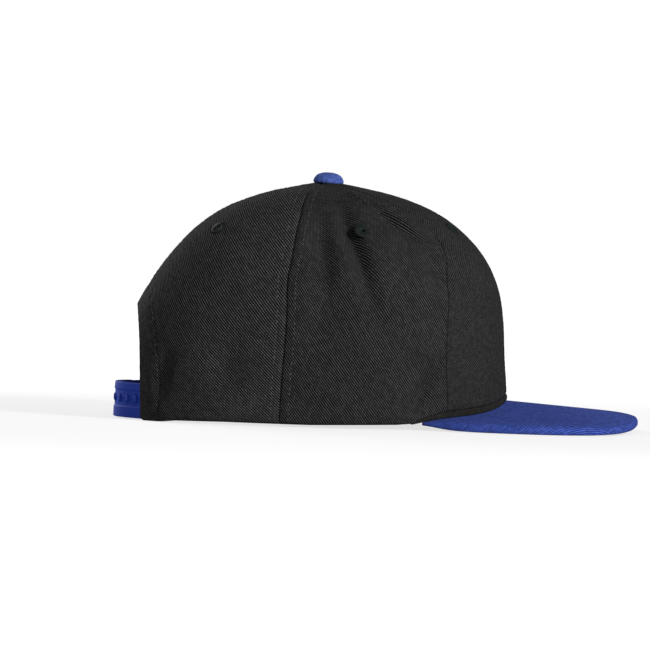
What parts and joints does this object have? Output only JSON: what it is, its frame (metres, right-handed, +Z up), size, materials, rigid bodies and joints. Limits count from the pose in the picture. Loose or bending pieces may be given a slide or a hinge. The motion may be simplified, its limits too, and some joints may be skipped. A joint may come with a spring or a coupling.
{
  "type": "snapback cap",
  "caption": "Six-panel snapback cap with a flat curved peak, top button, eyelets and a plastic snap strap behind an arched opening.",
  "frame": {"origin": "bottom centre of the cap's box, on the surface that the cap stands on", "axes": "+X points out over the peak, +Y to the wearer's left, +Z up towards the top button"},
  "size_m": [0.2858, 0.184, 0.1364],
  "materials": {
    "crown_cloth": "matte black cotton twill",
    "front_cloth": "matte black cotton twill on a stiff backing",
    "blue_cloth": "matte blue cotton twill",
    "thread": "black embroidery thread",
    "sweatband_cloth": "plain black cotton",
    "blue_plastic": "satin blue moulded plastic"
  },
  "bodies": {
    "root": {"crown_front_left": "front_cloth", "crown_front_right": "front_cloth", "crown_side_left": "crown_cloth", "crown_side_right": "crown_cloth", "crown_back_left": "crown_cloth", "crown_back_right": "crown_cloth", "eyelet_front_left": "thread", "eyelet_front_right": "thread", "eyelet_side_left": "thread", "eyelet_side_right": "thread", "eyelet_back_left": "thread", "eyelet_back_right": "thread", "back_arch_hem": "crown_cloth", "peak_seam_roll": "crown_cloth", "peak": "blue_cloth", "strap_with_holes": "blue_plastic", "strap_with_pegs": "blue_plastic", "sweatband": "sweatband_cloth", "top_button": "blue_cloth"}
  },
  "joints": []
}
